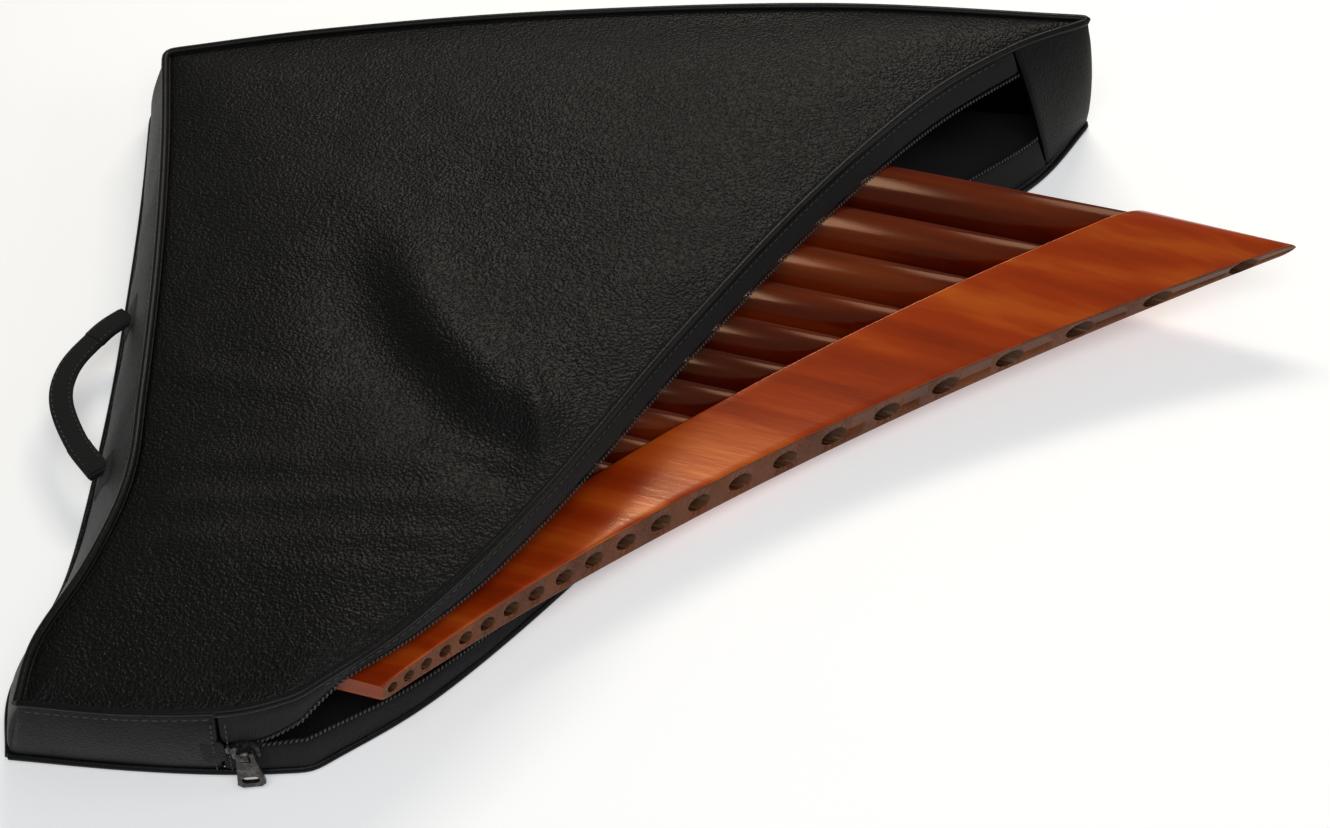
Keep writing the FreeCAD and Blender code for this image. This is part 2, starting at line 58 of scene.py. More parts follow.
BAND = 16.4                     # flap's zip band below the top of the bag
END_BAND = 9.4
SAG_RADIUS = 1200.0
SAG_LOW = 7.4
SEAM_SHARE = 0.716              # where the zip band starts on the end run
NOSE_SHARE = 0.916              # where it stops on the opening run
LONG, LEFT, END, OPENING = range(4)
TOP_PLAN = [
    [(207, 229), (80, 250), (-60, 256), (-170, 252), (-250, 243)],
    [(-250, 243), (-239, 170), (-230, 90), (-224, 12), (-222, -35), (-231, -78), (-245, -115), (-247, -144)],
    [(-247, -144), (-205, -150), (-165, -151), (-140, -145)],
    [(-140, -145), (-98, -111), (-51, -53), (2, 28), (61, 110), (120, 177), (167, 212), (207, 229)],
]
BOTTOM_PLAN = [
    [(219, 240), (80, 253), (-60, 258), (-170, 255), (-266, 246)],
    [(-266, 246), (-260, 180), (-256, 114), (-253, 40), (-254, -45), (-261, -82), (-267, -112), (-262, -140)],
    [(-262, -140), (-213, -145), (-172, -147), (-140, -146)],
    [(-140, -146), (-92, -110), (-32, -45), (28, 32), (85, 100), (140, 155), (188, 196), (219, 240)],
]

# The flute's row of pipes.
PIPE_COUNT = 22
BASS_PITCH = 28.0
TREBLE_PITCH = 7.6
GLUE_FLAT = 1.04
ROW_RADIUS = 800.0
BASS_LENGTH, MIDDLE_LENGTH, TREBLE_LENGTH = 331.0, 149.0, 38.0
BASS_BOARD, TREBLE_BOARD = 2.4, 1.1
BASS_DEPTH, TREBLE_DEPTH = 66.0, 24.0
BASS_HOLE = 9.0                 # hole through the foot at its bass end, about the widest of them
BASS_FACE, MIDDLE_FACE, TREBLE_FACE = 5.2, 9.8, 4.8     # half heights of the foot's end face


# ---- plan of the bag ----

def catmull(points, share):
    """A point on a smooth line through the given points."""
    spans = len(points) - 1
    place = min(max(share, 0.0) * spans, spans - 1e-6)
    i = int(place)
    t = place - i
    p1, p2 = points[i], points[i + 1]
    p0 = points[i - 1] if i else 2 * p1 - p2
    p3 = points[i + 2] if i + 2 <= spans else 2 * p2 - p1
    flat = 2 * p1 + (p2 - p0) * t
    return 0.5 * (flat + (2 * p0 - 5 * p1 + 4 * p2 - p3) * t * t + (3 * p1 - p0 - 3 * p2 + p3) * t ** 3)


def even_line(points, count):
    """The smooth line through the points, as count + 1 evenly spaced points."""
    vectors = [Vector(p) for p in points]
    steps = 60 * (len(points) - 1)
    dense = [catmull(vectors, i / steps) for i in range(steps + 1)]
    lengths = [0.0]
    for before, after in zip(dense, dense[1:]):
        lengths.append(lengths[-1] + (after - before).length)
    line = []
    k = 0
    for i in range(count + 1):
        target = lengths[-1] * i / count
        while k < steps - 1 and lengths[k + 1] < target:
            k += 1
        share = (target - lengths[k]) / max(lengths[k + 1] - lengths[k], 1e-9)
        line.append(dense[k].lerp(dense[k + 1], share))
    return line


RUN_STEPS = 400
TOP_RUNS = [even_line(run, RUN_STEPS) for run in TOP_PLAN]
BOTTOM_RUNS = [even_line(run, RUN_STEPS) for run in BOTTOM_PLAN]


def on_run(runs, run, share):
    place = min(max(share, 0.0), 1.0) * RUN_STEPS
    i = min(int(place), RUN_STEPS - 1)
    return runs[run][i].lerp(runs[run][i + 1], place - i)


def turned(x, y):
    """A place on the plan, turned by the swing, in metres."""
    cos, sin = math.cos(SWING), math.sin(SWING)
    return Vector((x * cos - y * sin, x * sin + y * cos)) * MM


def find_bag_shift():
    """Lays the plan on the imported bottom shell."""
    corners = [turned(*point) for run in BOTTOM_PLAN for point in run]
    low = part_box("bottom_shell")[0]
    return Vector((low.x - min(c.x for c in corners), low.y - min(c.y for c in corners)))


BAG_SHIFT = find_bag_shift()
FLUTE_ORIGIN = BAG_SHIFT - turned(*BAG_OFFSET)


def bag_point(x, y, z):
    place = turned(x, y) + BAG_SHIFT
    return Vector((place.x, place.y, z * MM))


def top_height(x):
    return LEFT_HEIGHT + TOP_RISE * (x - LEFT_X)


def wall_xy(run, share, z):
    """A place on the bag's wall at a height."""
    low = on_run(BOTTOM_RUNS, run, share)
    high = on_run(TOP_RUNS, run, share)
    return low.lerp(high, z / top_height(high.x))


def flap_edge(x):
    """Height of the lower edge of the flap's zip band."""
    start = ZIP_HEIGHT + TEETH
    bends = [(-163, start), (-118, top_height(-118) - END_BAND), (-70, top_height(-70) - BAND)]
    if x <= bends[0][0]:
        return start
    for (xa, za), (xb, zb) in zip(bends, bends[1:]):
        if x <= xb:
            return za + (zb - za) * smooth((x - xa) / (xb - xa))
    return top_height(x) - BAND


def lower_edge(x, y):
    """Height of the lower zip band, pressed down under the flute."""
    across = (bag_point(x, y, 0).y - FLUTE_ORIGIN.y) / MM
    return min(ZIP_HEIGHT, SAG_LOW + across * across / (2 * SAG_RADIUS))


def smooth(t):
    t = min(max(t, 0.0), 1.0)
    return t * t * (3 - 2 * t)


# ---- meshes ----

def new_piece(name, verts, faces, body, slot, material):
    mesh = bpy.data.meshes.new(name)
    mesh.from_pydata([tuple(v) for v in verts], [], faces)
    mesh.validate()
    piece = bpy.data.objects.new(name, mesh)
    bpy.context.scene.collection.objects.link(piece)
    tidy_mesh(piece)
    mesh.materials.append(material)
    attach(piece, body)
    return piece


def tidy_mesh(piece, weld=0.0):
    """Outward normals, smooth shading, and sharp edges where faces meet steeply."""
    bm = bmesh.new()
    bm.from_mesh(piece.data)
    if weld:
        bmesh.ops.remove_doubles(bm, verts=bm.verts, dist=weld)
    bmesh.ops.recalc_face_normals(bm, faces=bm.faces)
    bm.to_mesh(piece.data)
    bm.free()
    piece.data.shade_smooth()
    piece.data.set_sharp_from_angle(angle=math.radians(50))


def grid_faces(rows, columns, start=0, closed=False):
    """Quads of a grid whose vertices run along its columns first."""
    faces = []
    for i in range(rows - 1):
        for j in range(columns if closed else columns - 1):
            k = (j + 1) % columns
            a = start + i * columns
            faces.append((a + j, a + k, a + columns + k, a + columns + j))
    return faces


def closed_sheet(outer, inner, rows, columns):
    """Vertices and faces of a body between two grids of the same size."""
    count = rows * columns
    faces = grid_faces(rows, columns) + [f[::-1] for f in grid_faces(rows, columns, count)]
    rim = [j for j in range(columns)]
    rim += [i * columns + columns - 1 for i in range(1, rows)]
    rim += [(rows - 1) * columns + j for j in range(columns - 2, -1, -1)]
    rim += [i * columns for i in range(rows - 2, 0, -1)]
    for a, b in zip(rim, rim[1:] + rim[:1]):
        faces.append((b, a, a + count, b + count))
    return list(outer) + list(inner), faces


def tube(points, radius, sides=10, flat=1.0, up=Vector((0, 0, 1)), closed=False):
    """A tube along a line. The radius may be a number or one for each point; flat squeezes it along up."""
    verts = []
    count = len(points)
    for i, point in enumerate(points):
        before = points[i - 1] if i or closed else points[0]
        after = points[(i + 1) % count] if i + 1 < count or closed else points[-1]
        along = (after - before).normalized()
        side = along.cross(up).normalized()
        over = side.cross(along)
        size = radius[i] if isinstance(radius, list) else radius
        for j in range(sides):
            angle = 2 * math.pi * j / sides
            verts.append(point + side * (math.cos(angle) * size) + over * (math.sin(angle) * size * flat))
    faces = grid_faces(count, sides, 0, True)
    if closed:
        last = (count - 1) * sides
        faces += [(last + j, last + (j + 1) % sides, (j + 1) % sides, j) for j in range(sides)]
    else:
        faces.append(tuple(range(sides))[::-1])
        faces.append(tuple(range((count - 1) * sides, count * sides)))
    return verts, faces


def join_parts(parts):
    """Several (vertices, faces) as one."""
    verts, faces = [], []
    for part_verts, part_faces in parts:
        shift = len(verts)
        verts += part_verts
        faces += [tuple(i + shift for i in face) for face in part_faces]
    return verts, faces


def capsule(start, end, radius, up, sides=6):
    """A stitch or a tooth: a short thread with drawn-in ends."""
    shares = (0.0, 0.12, 0.5, 0.88, 1.0)
    sizes = [radius * s for s in (0.35, 0.85, 1.0, 0.85, 0.35)]
    points = [start.lerp(end, s) + up * (radius * 0.6 * math.sin(math.pi * s)) for s in shares]
    return tube(points, sizes, sides, 1.0, up)


# ---- materials ----

def add(tree, kind, inputs=None, **settings):
    """A node whose inputs are numbers, colours or other nodes' sockets."""
    node = tree.nodes.new(kind)
    for name, value in settings.items():
        setattr(node, name, value)
    for name, value in (inputs or {}).items():
        if isinstance(value, bpy.types.NodeSocket):
            tree.links.new(value, node.inputs[name])
        else:
            node.inputs[name].default_value = value
    return node


def new_material(name, **sockets):
    """A Principled material with constants set on the shader's own sockets."""
    material = bpy.data.materials.new(name)
    material.use_nodes = True
    tree = material.node_tree
    shader = tree.nodes["Principled BSDF"]
    for key, value in sockets.items():
        shader.inputs[key.replace("_", " ")].default_value = value
    place = add(tree, "ShaderNodeTexCoord").outputs["Object"]
    return material, tree, shader, place


def colour(r, g, b):
    return (r, g, b, 1.0)


def ramp(tree, source, stops):
    node = add(tree, "ShaderNodeValToRGB", {"Fac": source})
    elements = node.color_ramp.elements
    while len(elements) < len(stops):
        elements.new(0.5)
    for element, (place, value) in zip(elements, stops):
        element.position = place
        element.color = value
    return node.outputs["Color"]


def fine_noise(tree, place, scale, detail=4.0, stretch=(1, 1, 1)):
    mapped = add(tree, "ShaderNodeMapping", {"Vector": place, "Scale": stretch})
    return add(tree, "ShaderNodeTexNoise", {"Vector": mapped.outputs["Vector"], "Scale": scale,
                                            "Detail": detail}).outputs["Fac"]


def as_range(tree, source, low, high):
    node = add(tree, "ShaderNodeMapRange", {"Value": source, "To Min": low, "To Max": high})
    return node.outputs["Result"]


def sum_of(tree, a, b, kind="ADD"):
    return add(tree, "ShaderNodeMath", {0: a, 1: b}, operation=kind).outputs[0]


def bump(tree, shader, height, distance, strength=1.0):
    node = add(tree, "ShaderNodeBump", {"Height": height, "Distance": distance, "Strength": strength})
    tree.links.new(node.outputs["Normal"], shader.inputs["Normal"])


def lacquered_wood(name, dark, light, streak, roughness):
    """Wood grain that runs along X under a thick gloss lacquer."""
    tint = colour(1.0, 0.52, 0.26)
    material, tree, shader, place = new_material(name, Coat_Weight=0.12, Coat_Roughness=0.14,
                                                 Specular_IOR_Level=0.8, Specular_Tint=tint)
    grain = fine_noise(tree, place, 60.0, 6.0, (0.09, 1.0, 1.0))
    cloud = fine_noise(tree, place, 14.0, 3.0, (0.35, 1.0, 1.0))
    mixed = sum_of(tree, sum_of(tree, grain, 0.55, "MULTIPLY"), sum_of(tree, cloud, 0.45, "MULTIPLY"))
    base = ramp(tree, mixed, [(0.33, dark), (0.52, light), (0.66, streak)])
    tree.links.new(base, shader.inputs["Base Color"])
    tree.links.new(as_range(tree, grain, roughness, roughness + 0.12), shader.inputs["Roughness"])
    waves = fine_noise(tree, place, 420.0, 2.0, (0.12, 1.0, 1.0))
    bump(tree, shader, sum_of(tree, waves, cloud), 0.00012, 0.5)
    return material


def end_grain():
    material, tree, shader, place = new_material("foot_end_grain", Specular_IOR_Level=0.2,
                                                 Specular_Tint=colour(1.0, 0.6, 0.35))
    spots = fine_noise(tree, place, 900.0, 3.0)
    cloud = fine_noise(tree, place, 40.0, 4.0)
    mixed = sum_of(tree, sum_of(tree, spots, 0.5, "MULTIPLY"), sum_of(tree, cloud, 0.5, "MULTIPLY"))
    dark, light = colour(0.055, 0.012, 0.003), colour(0.16, 0.046, 0.014)
    tree.links.new(ramp(tree, mixed, [(0.36, dark), (0.62, light)]), shader.inputs["Base Color"])
    tree.links.new(as_range(tree, spots, 0.34, 0.5), shader.inputs["Roughness"])
    bump(tree, shader, spots, 0.00015, 0.6)
    return material


def cork():
    material, tree, shader, place = new_material("cork_stopper", Roughness=0.9)
    cells = add(tree, "ShaderNodeTexVoronoi", {"Vector": place, "Scale": 800.0}).outputs["Distance"]
    dark, light = colour(0.045, 0.022, 0.010), colour(0.20, 0.11, 0.05)
    tree.links.new(ramp(tree, cells, [(0.1, dark), (0.6, light)]), shader.inputs["Base Color"])
    bump(tree, shader, cells, 0.0003)
    return material


def leatherette(name, cell, depth, tone, roughness):
    """Black embossed leatherette: a pebble grain, fine wrinkles and slightly polished high spots."""
    material, tree, shader, place = new_material(name, Specular_IOR_Level=0.13)
    bend = fine_noise(tree, place, 260.0, 3.0)
    moved = add(tree, "ShaderNodeVectorMath", {0: place, 1: (0.0, 0.0, 0.0)}, operation="ADD")
    warp = add(tree, "ShaderNodeVectorMath", {0: bend, "Scale": 0.0022}, operation="SCALE")
    tree.links.new(warp.outputs[0], moved.inputs[1])
    pebble = add(tree, "ShaderNodeTexVoronoi", {"Vector": moved.outputs[0], "Scale": 1.0 / cell,
                                                "Smoothness": 0.7}, feature="SMOOTH_F1").outputs["Distance"]
    wrinkle = fine_noise(tree, place, 420.0, 5.0)
    patches = fine_noise(tree, place, 11.0, 3.0)
    low, high = [c * 0.6 for c in tone], [c * 1.5 for c in tone]
    shade = sum_of(tree, sum_of(tree, patches, 0.6, "MULTIPLY"), sum_of(tree, pebble, 0.4, "MULTIPLY"))
    base = ramp(tree, shade, [(0.25, colour(*low)), (0.65, colour(*high))])
    tree.links.new(base, shader.inputs["Base Color"])
    worn = sum_of(tree, sum_of(tree, patches, 0.22, "MULTIPLY"), sum_of(tree, pebble, 0.16, "MULTIPLY"))
    tree.links.new(sum_of(tree, worn, roughness - 0.17), shader.inputs["Roughness"])
    height = sum_of(tree, sum_of(tree, pebble, -1.0, "MULTIPLY"), sum_of(tree, wrinkle, 0.4, "MULTIPLY"))
    bump(tree, shader, height, depth)
    return material


def woven(name, tone, pitch, ribs=(1.0, 1.0), roughness=0.86):
    """A plain weave: two sets of threads, and lint between them."""
    material, tree, shader, place = new_material(name, Sheen_Weight=0.03, Sheen_Roughness=0.5,
                                                 Specular_IOR_Level=0.25)
    threads = []
    for direction, share in zip(("X", "Y"), ribs):
        wave = add(tree, "ShaderNodeTexWave", {"Vector": place, "Scale": share / pitch / 6.2832 * 3.1416,
                                               "Distortion": 0.6, "Detail": 1.0}, bands_direction=direction)
        threads.append(wave.outputs["Fac"])
    weave = sum_of(tree, threads[0], threads[1], "MAXIMUM")
    lint = fine_noise(tree, place, 1500.0, 2.0)
    patches = fine_noise(tree, place, 30.0, 3.0)
    mixed = sum_of(tree, sum_of(tree, weave, 0.5, "MULTIPLY"), sum_of(tree, patches, 0.5, "MULTIPLY"))
    low, high = [c * 0.5 for c in tone], [c * 1.5 for c in tone]
    base = ramp(tree, mixed, [(0.3, colour(*low)), (0.75, colour(*high))])
    tree.links.new(base, shader.inputs["Base Color"])
    tree.links.new(as_range(tree, lint, roughness - 0.1, roughness + 0.1), shader.inputs["Roughness"])
    bump(tree, shader, sum_of(tree, weave, sum_of(tree, lint, 0.4, "MULTIPLY")), 0.0003, 0.8)
    return material


def coil_plastic():
    material, tree, shader, place = new_material("zip_coil_nylon", Specular_IOR_Level=0.5)
    wear = fine_noise(tree, place, 700.0, 3.0)
    dark, light = colour(0.008, 0.008, 0.008), colour(0.03, 0.03, 0.03)
    tree.links.new(ramp(tree, wear, [(0.35, dark), (0.7, light)]), shader.inputs["Base Color"])
    tree.links.new(as_range(tree, wear, 0.3, 0.5), shader.inputs["Roughness"])
    bump(tree, shader, wear, 0.0001, 0.4)
    return material


def black_metal():
    """Blackened cast metal, rubbed brighter in patches."""
    material, tree, shader, place = new_material("zip_black_metal", Metallic=0.75)
    wear = fine_noise(tree, place, 420.0, 5.0)
    dark, light = colour(0.03, 0.027, 0.025), colour(0.16, 0.14, 0.13)
    tree.links.new(ramp(tree, wear, [(0.45, dark), (0.75, light)]), shader.inputs["Base Color"])
    tree.links.new(as_range(tree, wear, 0.45, 0.25), shader.inputs["Roughness"])
    bump(tree, shader, fine_noise(tree, place, 2200.0, 2.0), 0.00008, 0.5)
    return material


def thread_material():
    material, tree, shader, place = new_material("waxed_thread", Roughness=0.55)
    twist = add(tree, "ShaderNodeTexWave", {"Vector": place, "Scale": 900.0, "Distortion": 1.0},
                bands_direction="DIAGONAL").outputs["Fac"]
    dark, light = colour(0.012, 0.012, 0.012), colour(0.05, 0.048, 0.045)
    tree.links.new(ramp(tree, twist, [(0.2, dark), (0.8, light)]), shader.inputs["Base Color"])
    bump(tree, shader, twist, 0.0001)
    return material


BOARD_WOOD = lacquered_wood("lacquered_board_wood", colour(0.13, 0.008, 0.001), colour(0.31, 0.030, 0.002),
                            colour(0.50, 0.095, 0.008), 0.16)
PIPE_WOOD = lacquered_wood("lacquered_pipe_wood", colour(0.022, 0.0010, 0.0002),
                           colour(0.075, 0.0050, 0.0006), colour(0.16, 0.020, 0.002), 0.12)
END_GRAIN = end_grain()
# Hole walls: unlacquered wood, darkened to near black as painted shade inside the bores.
BORE_WOOD_PAINTED_SHADE = lacquered_wood("bore_wood_painted_shade", colour(0.010, 0.0020, 0.0006), colour(0.022, 0.0045, 0.0012),
                           colour(0.045, 0.0100, 0.0030), 0.55)
CORK = cork()
LEATHER = leatherette("leatherette_pebbled", 0.0013, 0.00050, (0.0028, 0.0028, 0.0025), 0.42)
SIDE_LEATHER = leatherette("leatherette_side", 0.0012, 0.00020, (0.0018, 0.0018, 0.0017), 0.50)
PIPING_LEATHER = leatherette("leatherette_piping", 0.0011, 0.00008, (0.0050, 0.0049, 0.0045), 0.36)
ZIP_CLOTH = woven("zip_tape_weave", (0.0038, 0.0038, 0.0040), 0.0009)
LINING = woven("lining_weave", (0.0050, 0.0050, 0.0054), 0.0006)
WEBBING = woven("webbing_weave", (0.0042, 0.0042, 0.0045), 0.0013, (1.0, 0.55))
COIL = coil_plastic()
METAL = black_metal()
THREAD = thread_material()


# ---- flute ----

def pipe_places():
    """Places of the pipes' axes along the row, from the bass side, in millimetres."""
    ratio = TREBLE_PITCH / BASS_PITCH
    pitches = [BASS_PITCH * ratio ** (i / (PIPE_COUNT - 1)) for i in range(PIPE_COUNT)]
    places = [0.0]
    for before, after in zip(pitches, pitches[1:]):
        places.append(places[-1] + (before + after) / 2)
    return [place - places[-1] / 2 for place in places]


HALF_ROW = pipe_places()[-1]
LOW_SIDE = -HALF_ROW - BASS_PITCH / 2 - BASS_BOARD
HIGH_SIDE = HALF_ROW + TREBLE_PITCH / 2 + TREBLE_BOARD


def between(bass_value, treble_value, place):
    return bass_value + (treble_value - bass_value) * (place + HALF_ROW) / (2 * HALF_ROW)


def through_three(bass_value, middle_value, treble_value, place):
    t = place / HALF_ROW
    bend = (treble_value + bass_value) / 2 - middle_value
    return middle_value + (treble_value - bass_value) / 2 * t + bend * t * t


def foot_x(place):
    return through_three(BASS_LENGTH, MIDDLE_LENGTH, TREBLE_LENGTH, place) - MIDDLE_LENGTH


def full_lift(place):
    """Half of the foot's height at its rear edge."""
    return between(BASS_PITCH, TREBLE_PITCH, place) * GLUE_FLAT / 2 + between(BASS_BOARD, TREBLE_BOARD, place)


def find_row_height():
    """Height of the row's middle, from the box of the bass pipe."""
    low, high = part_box("pipe_01")
    return (low.z + high.z) / 2 / MM - ROW_RADIUS * (1 - math.cos(HALF_ROW / ROW_RADIUS))


ROW_HEIGHT = find_row_height()


def row_point(place, lift, x):
    angle = place / ROW_RADIUS
    y = -(ROW_RADIUS - lift) * math.sin(angle)
    z = ROW_RADIUS - (ROW_RADIUS - lift) * math.cos(angle) + ROW_HEIGHT
    return Vector((FLUTE_ORIGIN.x + x * MM, FLUTE_ORIGIN.y + y * MM, z * MM))


def foot_lift(place, share):
    """Half of the foot's height: it tapers from the rear edge (share 0) to the end face (share 1)."""
    lift = full_lift(place)
    lift += (through_three(BASS_FACE, MIDDLE_FACE, TREBLE_FACE, place) - lift) * share
    return round_side(lift, place)


def round_side(lift, place):
    """The bass side is a half round that carries on from the bass pipe; the treble side has a small edge."""
    for distance, radius in ((place - LOW_SIDE, lift), (HIGH_SIDE - place, 1.5)):
        if distance < radius:
            lift -= radius - math.sqrt(max(radius * radius - (radius - distance) ** 2, 0.0))
    return max(lift, 0.4)


def board_stations():
    """Places along the foot, closer together where its bass side is rounded."""
    steps = 170
    return [LOW_SIDE + 0.08 + (HIGH_SIDE - LOW_SIDE - 0.2) * (i / steps) ** 1.35 for i in range(steps + 1)]


def board_blank(side):
    """A closed body with rounded edges, a hair smaller than the board, and past its middle on the inside."""
    hair, corner, flats = 0.06, 6, 10
    verts = []
    for place in board_stations():
        rear_edge, face_edge = 1.1, between(1.6, 1.0, place)
        face = foot_x(place) - hair
        rear = foot_x(place) - between(BASS_DEPTH, TREBLE_DEPTH, place) + hair
        depth = face - rear
        section = [(rear, -6.0)]
        for k in range(corner + 1):
            angle = math.pi / 2 * k / corner
            x = rear_edge * (1 - math.cos(angle))
            section.append((rear + x, foot_lift(place, x / depth) - hair - rear_edge * (1 - math.sin(angle))))
        for k in range(1, flats):
            section.append((rear + depth * k / flats, foot_lift(place, k / flats) - hair))
        for k in range(corner + 1):
            angle = math.pi / 2 * k / corner
            x = face_edge * (1 - math.sin(angle))
            drop = hair + face_edge * (1 - math.cos(angle))
            section.append((face - x, foot_lift(place, 1 - x / depth) - drop))
        section.append((face, -6.0))
        verts += [row_point(place, side * lift, x) for x, lift in section]
    columns = len(section)
    rows = len(verts) // columns
    faces = grid_faces(rows, columns, 0, True)
    faces += [tuple(range(columns))[::-1], tuple(range((rows - 1) * columns, rows * columns))]
    return verts, faces


def cad_copy(node, name):
    """A welded copy of a CAD node's mesh, to be worked on as a new piece."""
    piece = bpy.data.objects.new(name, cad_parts[node].data.copy())
    bpy.context.scene.collection.objects.link(piece)
    tidy_mesh(piece, 2e-6)
    return piece


def apply_modifiers(piece):
    graph = bpy.context.evaluated_depsgraph_get()
    mesh = bpy.data.meshes.new_from_object(piece.evaluated_get(graph))
    piece.modifiers.clear()
    piece.data = mesh


def in_hole(face, axes):
    """Whether a face is part of a hole's wall: it faces the hole's axis and lies close to it."""
    centre, normal = face.center.yz, face.normal.yz
    axis = min(axes, key=lambda a: (a - centre).length)
    inward = axis - centre
    faces_axis = abs(face.normal.x) < 0.5 and inward.normalized().dot(normal) > 0.8
    return faces_axis and inward.length < 0.6 * BASS_HOLE * MM


def make_board(side, node, name):
    """A foot board: the designed board with all its bores, inside a blank with rounded edges."""
    board = cad_copy(node, name)
    verts, faces = board_blank(side)
    mesh = bpy.data.meshes.new("blank")
    mesh.from_pydata([tuple(v) for v in verts], [], faces)
    blank = bpy.data.objects.new("blank", mesh)
    bpy.context.scene.collection.objects.link(blank)
    tidy_mesh(blank)
    cut = board.modifiers.new("round", "BOOLEAN")
    cut.operation = "INTERSECT"
    cut.solver = "EXACT"
    cut.object = blank
    apply_modifiers(board)
    bpy.data.objects.remove(blank)
    tidy_mesh(board, 1e-6)
    board.data.set_sharp_from_angle(angle=math.radians(32))
    board.data.materials.clear()
    board.data.materials.append(BOARD_WOOD)
    board.data.materials.append(END_GRAIN)
    board.data.materials.append(BORE_WOOD_PAINTED_SHADE)
    # Hole-wall faces take the near-black bore wood, which is painted shade inside the holes; faces turned out
    # to the end take the end grain.
    axes = [row_point(place, 0.0, 0.0).yz for place in pipe_places()]
    for face in board.data.polygons:
        out = face.normal.x > 0.3 and abs(face.normal.z) < 0.35 and face.normal.y < 0.2
        face.material_index = 2 if in_hole(face, axes) else 1 if out else 0
    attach(board, "flute")
    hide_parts(node)
    return board


def finish_cad_pieces():
    """Materials and small bevels for the hard pieces whose designed shape is right."""
    for i in range(PIPE_COUNT):
        dress("pipe_%02d" % (i + 1), PIPE_WOOD)
    dress("tuning_corks", CORK)
    for node in ("zip_slider", "zip_puller", "zip_stop"):
        dress(node, METAL, 0.00035)


def dress(node, material, bevel=0.0):
    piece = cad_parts[node]
    piece.data.materials.clear()
    piece.data.materials.append(material)
    weld = piece.modifiers.new("weld", "WELD")
    weld.merge_threshold = 2e-6
    if bevel:
        add_bevel(piece, bevel)


def add_bevel(piece, width):
    edge = piece.modifiers.new("edge", "BEVEL")
    edge.width = width
    edge.segments = 3
    edge.limit_method = "ANGLE"
    edge.angle_limit = math.radians(40)


# ---- bag panels ----

VALLEY = [(-140, 118), (-130, 75), (-112, 32), (-84, -6), (-52, -36)]
CREASES = [     # from, to, height, half width
    ((-96, -24), (-50, -40), 1.5, 3.6),
    ((-60, 20), (-47, -38), 1.7, 4.6),
    ((-206, -28), (-96, -36), 0.9, 7.0),
    ((-204, -50), (-76, -56), 1.2, 5.5),
    ((-196, -70), (-92, -74), 0.9, 5.0),
    ((-160, -86), (-100, -90), 0.7, 5.0),
    ((-214, 24), (-150, 6), 0.9, 8.0),
    ((-212, 66), (-160, 92), 0.7, 9.0),
    ((-20, 60), (14, 66), 0.7, 9.0),
]


def line_distance(point, start, end):
    """Signed distance from a line, and the share along it."""
    a, b, p = Vector((*start, 0)), Vector((*end, 0)), Vector((*point, 0))
    share = intersect_point_line(p, a, b)[1]
    held = min(max(share, 0.0), 1.0)
    near = a.lerp(b, held)
    side = (b - a).cross(p - a).z
    return math.copysign((p - near).length, side), share


def fold_height(x, y):
    """The deep fold where the panel hangs between the flute under it and the empty end of the bag."""
    best = (1e9, 0.0)
    spans = len(VALLEY) - 1
    for i in range(spans):
        distance, share = line_distance((x, y), VALLEY[i], VALLEY[i + 1])
        if abs(distance) < abs(best[0]):
            best = (distance, (i + min(max(share, 0.0), 1.0)) / spans)
    distance, share = best
    fade = smooth(share / 0.45) * smooth((1.2 - share) / 0.35)
    valley = -4.2 * math.exp(-((distance + 9) / 19) ** 2)
    ridge = 4.4 * math.exp(-((distance - 16) / 14) ** 2)
    return (valley + ridge) * fade


def panel_relief(x, y):
    height = fold_height(x, y)
    for start, end, rise, width in CREASES:
        distance, share = line_distance((x, y), start, end)
        fade = math.exp(-max(0.0, -share, share - 1) ** 2 * 40)
        height += rise * math.exp(-(distance / width) ** 2) * fade
    big = noise.noise(Vector((x * 0.013, y * 0.013, 3.1))) * 1.6
    small = noise.noise(Vector((x * 0.045, y * 0.06, 7.7))) * 0.5
    return height + big + small


def coons(runs, rows, columns, inset=0.0):
    """Places on the plan, spread smoothly between its four edges."""
    places = []
    corners = [runs[END][0], runs[END][-1], runs[LONG][0], runs[LONG][-1]]
    for i in range(rows):
        t = i / (rows - 1)
        for j in range(columns):
            s = j / (columns - 1)
            low = on_run(runs, END, s)
            high = on_run(runs, LONG, 1 - s)
            left = on_run(runs, LEFT, 1 - t)
            right = on_run(runs, OPENING, t)
            flat = (corners[0] * (1 - s) + corners[1] * s) * (1 - t)
            flat += (corners[3] * (1 - s) + corners[2] * s) * t
            place = low * (1 - t) + high * t + left * (1 - s) + right * s - flat
            places.append(place)
    if inset:
        centre = sum(places, Vector((0, 0))) / len(places)
        places = [p + (centre - p).normalized() * inset for p in places]
    return places


def edge_distance(i, j, rows, columns, places):
    """About how far a grid point is from the nearest edge of its panel, in millimetres."""
    row = places[i * columns:(i + 1) * columns]
    across = (row[-1] - row[0]).length
    along = (places[(rows - 1) * columns + j] - places[j]).length
    return min(min(j, columns - 1 - j) / (columns - 1) * across, min(i, rows - 1 - i) / (rows - 1) * along)


